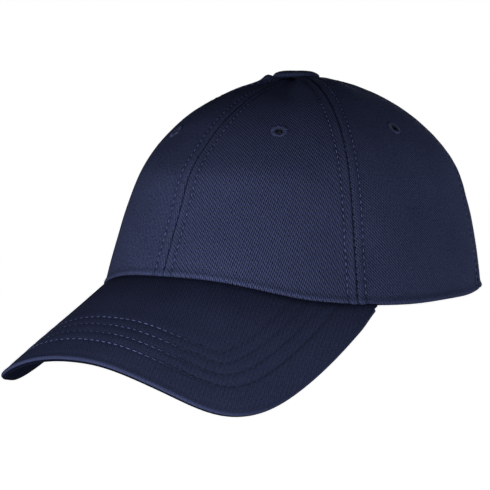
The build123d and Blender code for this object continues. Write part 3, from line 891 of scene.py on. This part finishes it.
BILL_RUN_STEPS = 240
for upper in (True, False):
    runs = []
    for k in range(len(BILL_ROW_OFF)):
        run = []
        for i in range(BILL_RUN_STEPS + 1):
            u = 2 * i / BILL_RUN_STEPS - 1
            low, high = 0.0, 1.0
            goal = row_off(k, u)
            if edge_tree.find(bill_frame(u, 0)[0])[2] < goal + 0.5:
                continue
            for _ in range(14):
                v = (low + high) / 2
                if edge_tree.find(bill_frame(u, v)[0])[2] > goal:
                    low = v
                else:
                    high = v
            p, m = bill_frame(u, (low + high) / 2)
            run.append((p - m * 0.1, m) if upper else (p - m * (2 * BILL_HALF - 0.1), -m))
        runs.append(run)
    # painted light: the bill's stitches keep full tone towards -x and fade to painted shade towards +x (16
    # to 46 mm)
    stitches("bill_stitch_top" if upper else "bill_stitch_under", runs, BILL_THREAD, "cap",
             pitch=3.6, length=3.25, radius=0.21, tone=lambda p: 1.0 - 0.9 * fade(p.x, 16, 46))

# ---- sweatband -------------------------------------------------------------------
# height above the rim and depth off the wall, round the folded band
BAND_PROFILE = [(0.9, 1.45), (2.0, 1.72), (4.5, 1.75), (10, 1.65), (17, 1.6), (23, 1.62), (27, 1.75),
                (28.4, 1.5), (29.6, 1.72), (31.2, 1.6), (32.0, 1.2), (32.1, 0.6), (31.2, 0.1),
                (26, 0.0), (16, 0.0), (5, 0.0), (1.2, 0.1), (0.5, 0.8)]
BAND_STITCH_HEIGHT = 28.4
STRAP_POCKET = (104.0, 126.0)


def band_depth(angle):
    return BAND_DEPTH + (BAND_DEPTH_BACK - BAND_DEPTH) * fade(abs(angle), *STRAP_POCKET)


def band_ring(profile, columns, shrink=0.0):
    points, uv, shade = [], [], []
    for i in range(columns):
        angle = (-BAND_ANGLE + shrink) + 2 * (BAND_ANGLE - shrink) * i / (columns - 1)
        for above, deep in profile:
            wave = 0.2 * noise.noise(Vector((angle * 0.09, above * 0.05, 3.0))) * fade(deep, 0.5, 1.5)
            points.append(on_crown(angle, climb_at(angle, above), -band_depth(angle) - deep - wave))
            uv.append((angle * 1.55, above))
            # painted shade along the stitch groove
            shade.append(0.8 if abs(above - BAND_STITCH_HEIGHT) < 0.5 else 1.0)
    width = len(profile)
    faces = grid_faces(columns, width, around=True)
    faces.append(tuple(reversed(range(width))))
    faces.append(tuple((columns - 1) * width + k for k in range(width)))
    return points, faces, uv, shade


BAND_COLUMNS = 171
points, faces, uv, shade = band_ring(BAND_PROFILE, BAND_COLUMNS)
obj = piece("sweatband_cloth", points, faces, BAND, "cap", uv, shade, ("sweatband",),
            levels=1, thick=0.3, closed=True)
FOAM_PROFILE = [(1.6, 1.2), (26.0, 1.2), (27.6, 1.0), (27.8, 0.6), (26, 0.45), (2, 0.45), (1.2, 0.7)]
points, faces, uv, shade = band_ring(FOAM_PROFILE, 121, 0.6)
obj = piece("sweatband_foam_strip", points, faces, FOAM, "cap", uv, shade,
            ("sweatband_foam",), closed=True)
run = []
for i in range(301):
    angle = -BAND_ANGLE + 2 + 2 * (BAND_ANGLE - 2) * i / 300
    climb = climb_at(angle, BAND_STITCH_HEIGHT)
    n = normal_at(angle, climb)
    run.append((face(angle, climb) - n * (band_depth(angle) + 1.58), -n))
stitches("sweatband_stitch", [run], THREAD, "cap", radius=0.2)


# ---- blank labels ----------------------------------------------------------------
def label(name, corner_angle, span, low, high, depth, curl):
    points, uv, shade = [], [], []
    rows, columns = 14, 14
    for i in range(rows):
        above = low + (high - low) * i / (rows - 1)
        for j in range(columns):
            angle = corner_angle + span * j / (columns - 1)
            lift = curl * (i / (rows - 1)) ** 2
            lift += 0.15 * noise.noise(Vector((i * 0.3, j * 0.3, len(name))))
            points.append(on_crown(angle, climb_at(angle, above), -depth - lift))
            uv.append((j * 1.2, i * 1.2))
            shade.append(0.85 if j in (0, columns - 1) or i in (0, rows - 1) else 1.0)
    obj = piece(name + "_woven", points, grid_faces(rows, columns, flip=True), LABEL, "cap",
                uv, shade, (name,), levels=1, thick=0.15)


label("size_label", 128.0, 15.0, 9.0, 25.0, BAND_DEPTH_BACK + 1.75, 0.0)
label("care_label", -112.0, 12.0, 22.0, 62.0, 1.75, 1.6)

# ---- binding around the back opening ---------------------------------------------
# off the opening's edge and out from the wall
BINDING = [(6.2, 0.10), (6.1, 0.5), (5.2, 0.66), (3.8, 0.62), (3.2, 0.52), (2.4, 0.64), (1.0, 0.72),
           (0.2, 0.6), (-0.25, 0.1), (-0.4, -0.5), (-0.25, -1.1), (0.3, -1.45), (1.6, -1.5),
           (3.2, -1.42), (5.2, -1.5), (6.1, -1.35), (6.2, -0.9)]
BINDING_STITCH = 3.2


def on_back_wall(x, z):
    """Angle and climb of the wall's point that has this x and z."""
    low, high = 92.0, 180.0
    for _ in range(26):
        middle = (low + high) / 2
        if face(middle, climb_at(middle, z)).x > abs(x):
            low = middle
        else:
            high = middle
    angle = (low + high) / 2
    return (angle if x >= 0 else -angle), climb_at(angle, z)


points, uv, shade = [], [], []
ARCH_STEPS = 97
rows_on_arch = {"outer": [], "inner": []}
for i in range(ARCH_STEPS):
    t = pi * i / (ARCH_STEPS - 1)
    for k, (grow, out) in enumerate(BINDING):
        x, z = (ARCH_HALF + grow) * cos(t), max((ARCH_HEIGHT + grow) * sin(t), 0.0)
        angle, climb = on_back_wall(x, z)
        pucker = 0.06 * noise.noise(Vector((i * 0.7, grow * 0.3, 1.0)))
        p, n = face(angle, climb), normal_at(angle, climb)
        points.append(p + n * (out + pucker))
        uv.append((k * 0.9, i * 1.5))
        sewn = abs(grow - BINDING_STITCH) < 0.1
        # painted shade along the stitch lines
        shade.append(0.72 if sewn else 1.08)
        if sewn:
            inner = out < 0
            rows_on_arch["inner" if inner else "outer"].append((p + n * out, -n if inner else n))
faces = grid_faces(ARCH_STEPS, len(BINDING), flip=True)
obj = piece("opening_binding_twill", points, faces, BIAS, "cap", uv, shade,
            ("opening_binding",), levels=1)
stitches("binding_stitch", list(rows_on_arch.values()), THREAD, "cap", pitch=3.2, length=2.4)

# ---- strap, tab and buckle -------------------------------------------------------
# out from the cone and across the strap
STRAP_ROUND = [(-0.6, -9.5), (-0.2, -9.45), (0.0, -9.1), (0.06, -8.2), (-0.06, -7.6), (0.05, -6.6),
               (0.0, 0.0), (0.05, 6.6), (-0.06, 7.6), (0.06, 8.2), (0.0, 9.1), (-0.2, 9.45),
               (-0.6, 9.5), (-1.0, 9.45), (-1.2, 9.1), (-1.14, 7.6), (-1.2, 6.0), (-1.2, 0.0),
               (-1.2, -6.0), (-1.14, -7.6), (-1.2, -9.1), (-1.0, -9.45)]
STRAP_STITCH = 7.6
points, uv, shade = [], [], []
STEPS = 90
for i in range(STEPS):
    angle = -44.0 + 87.0 * i / (STEPS - 1)
    for out, side in STRAP_ROUND:
        wave = 0.08 * noise.noise(Vector((angle * 0.3, side * 0.1, 8.0)))
        points.append(on_cone(angle, out + wave, side))
        uv.append((angle * 1.42, side))
        # painted shade along the stitch lines and a painted highlight on the rolled edges
        shade.append(0.85 if abs(abs(side) - STRAP_STITCH) < 0.1 else 1.0 + 0.15 * (abs(side) > 9))
width = len(STRAP_ROUND)
faces = grid_faces(STEPS, width, around=True)
faces.append(tuple(reversed(range(width))))
faces.append(tuple((STEPS - 1) * width + k for k in range(width)))
obj = piece("strap_cloth", points, faces, STRAP, "strap", uv, shade, ("strap",), levels=1,
            thick=0.45, closed=True)
runs = []
for side in (-STRAP_STITCH, STRAP_STITCH):
    for out, way in ((-0.02, 1), (-1.18, -1)):
        run = []
        for i in range(181):
            angle = -43.0 + 85.5 * i / 180
            p = on_cone(angle, out, side)
            run.append((p, (on_cone(angle, out + way, side) - p).normalized()))
        runs.append(run)
stitches("strap_stitch", runs, THREAD, "strap", pitch=3.0, length=2.3, radius=0.15,
         proud=-0.08)

# angle round the cone and distance out: over the frame's bar and back
TAB_PATH = [(42.0, 1.12), (34.0, 1.12), (27.0, 1.12), (24.0, 1.2), (22.3, 1.65), (21.2, 2.15),
            (20.3, 2.32), (19.5, 2.3), (18.9, 1.9), (18.75, 1.3), (18.9, 0.75), (19.4, 0.5),
            (20.6, 0.46), (22.5, 0.5), (25.0, 0.6), (30.0, 0.6), (42.0, 0.6)]
TAB_ACROSS = [-9.5, -9.1, -7.6, -5.0, 0.0, 5.0, 7.6, 9.1, 9.5]
points, uv = [], []
for angle, out in TAB_PATH:
    for side in TAB_ACROSS:
        thin = 0.08 if abs(side) > 9.3 else 0.0
        points.append(on_cone(angle, out - thin, side))
        uv.append((angle * 1.42, side))
obj = piece("buckle_tab_twill", points, grid_faces(len(TAB_PATH), len(TAB_ACROSS)), STRAP, "cap",
            uv, None, ("buckle_tab",), levels=2, thick=0.38)
runs = []
for angle in (23.6, 25.2):
    run = []
    for i in range(41):
        p = on_cone(angle, 1.2, -8.6 + 17.2 * i / 40)
        run.append((p, (on_cone(angle, 2.2, -8.6 + 17.2 * i / 40) - p).normalized()))
    runs.append(run)
stitches("tab_stitch", runs, THREAD, "cap", pitch=2.6, length=2.0, radius=0.2, proud=0.1)

HARDWARE = (("buckle_frame", NICKEL, 0.22), ("buckle_lever", NICKEL, 0.25), ("buckle_pin", NICKEL, 0.15),
            ("button_shell", STEEL, 0), ("button_stem", STEEL, 0.1), ("button_washer", STEEL, 0.15))
for name, material, edge in HARDWARE:
    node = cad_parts[name]
    for place in range(len(node.material_slots)):
        node.material_slots[place].material = material
    if edge:
        bevel = node.modifiers.new("worn_edges", "BEVEL")
        bevel.width = edge * MM
        bevel.segments = 2
        bevel.limit_method = "ANGLE"
        bevel.angle_limit = radians(35)

# ---- camera ----------------------------------------------------------------------
AZIMUTH, ELEVATION, ROLL = 37.57, 2.42, 0.655
DISTANCE, LENS_MM = 0.8004, 119.5
az, el = radians(AZIMUTH), radians(ELEVATION)
toward_camera = Vector((sin(az) * cos(el), -cos(az) * cos(el), sin(el)))
right = Vector((cos(az), sin(az), 0))
above = toward_camera.cross(right)
roll = radians(ROLL)
right, above = right * cos(roll) + above * sin(roll), above * cos(roll) - right * sin(roll)
target = Vector((0, -0.030, 0.035)) - right * 0.0096 - above * 0.012
data = bpy.data.cameras.new("camera")
data.lens = LENS_MM
data.sensor_width = 36
data.clip_start = 0.02
camera = bpy.data.objects.new("camera", data)
bpy.context.scene.collection.objects.link(camera)
camera.rotation_euler = Matrix((right, above, toward_camera)).transposed().to_euler()
camera.location = target + toward_camera * DISTANCE
bpy.context.scene.camera = camera

# ---- floor, light ----------------------------------------------------------------
FLOOR_Z, FLOOR_HALF = -0.26, 8
mesh = bpy.data.meshes.new("floor")
corners = [(x * FLOOR_HALF, y * FLOOR_HALF, FLOOR_Z) for x, y in ((-1, -1), (1, -1), (1, 1), (-1, 1))]
mesh.from_pydata(corners, [], [(0, 1, 2, 3)])
floor = bpy.data.objects.new("floor", mesh)
bpy.context.scene.collection.objects.link(floor)
n = Nodes("floor_white")
n.set(Base_Color=(0.8, 0.8, 0.8, 1), Roughness=0.9, Emission_Color=(1, 1, 1, 1), Emission_Strength=0.92)
mesh.materials.append(n.material)

world = bpy.data.worlds.new("studio")
bpy.context.scene.world = world
world.use_nodes = True
tree = world.node_tree
background = tree.nodes["Background"]
coordinate = tree.nodes.new("ShaderNodeTexCoord")
split = tree.nodes.new("ShaderNodeSeparateXYZ")
ramp = tree.nodes.new("ShaderNodeValToRGB")
tree.links.new(coordinate.outputs["Generated"], split.inputs["Vector"])
tree.links.new(split.outputs["Z"], ramp.inputs["Fac"])
tree.links.new(ramp.outputs["Color"], background.inputs["Color"])
SKY = ((0.0, 1.0), (0.125, 1.0), (0.2, 0.5), (0.35, 0.14), (0.6, 0.02))
while len(ramp.color_ramp.elements) < len(SKY):
    ramp.color_ramp.elements.new(0.5)
for element, (place, level) in zip(ramp.color_ramp.elements, SKY):
    element.position = place
    element.color = (level, level, level, 1)
background.inputs["Strength"].default_value = 1.0


def softbox(name, azimuth, elevation, distance, size, power):
    a, e = radians(azimuth), radians(elevation)
    way = Vector((sin(a) * cos(e), -cos(a) * cos(e), sin(e)))
    lamp = bpy.data.lights.new(name, "AREA")
    lamp.size = size
    lamp.energy = power
    obj = bpy.data.objects.new(name, lamp)
    obj.location = way * distance + Vector((0, -0.03, 0.03))
    obj.rotation_euler = way.to_track_quat("Z", "Y").to_euler()
    bpy.context.scene.collection.objects.link(obj)


softbox("front", 8, -15, 0.46, 0.22, 2.4)
softbox("side", 120, 14, 0.90, 0.50, 1.9)
softbox("back", 200, 12, 0.90, 0.60, 3.0)

bpy.context.scene.view_settings.view_transform = "Standard"
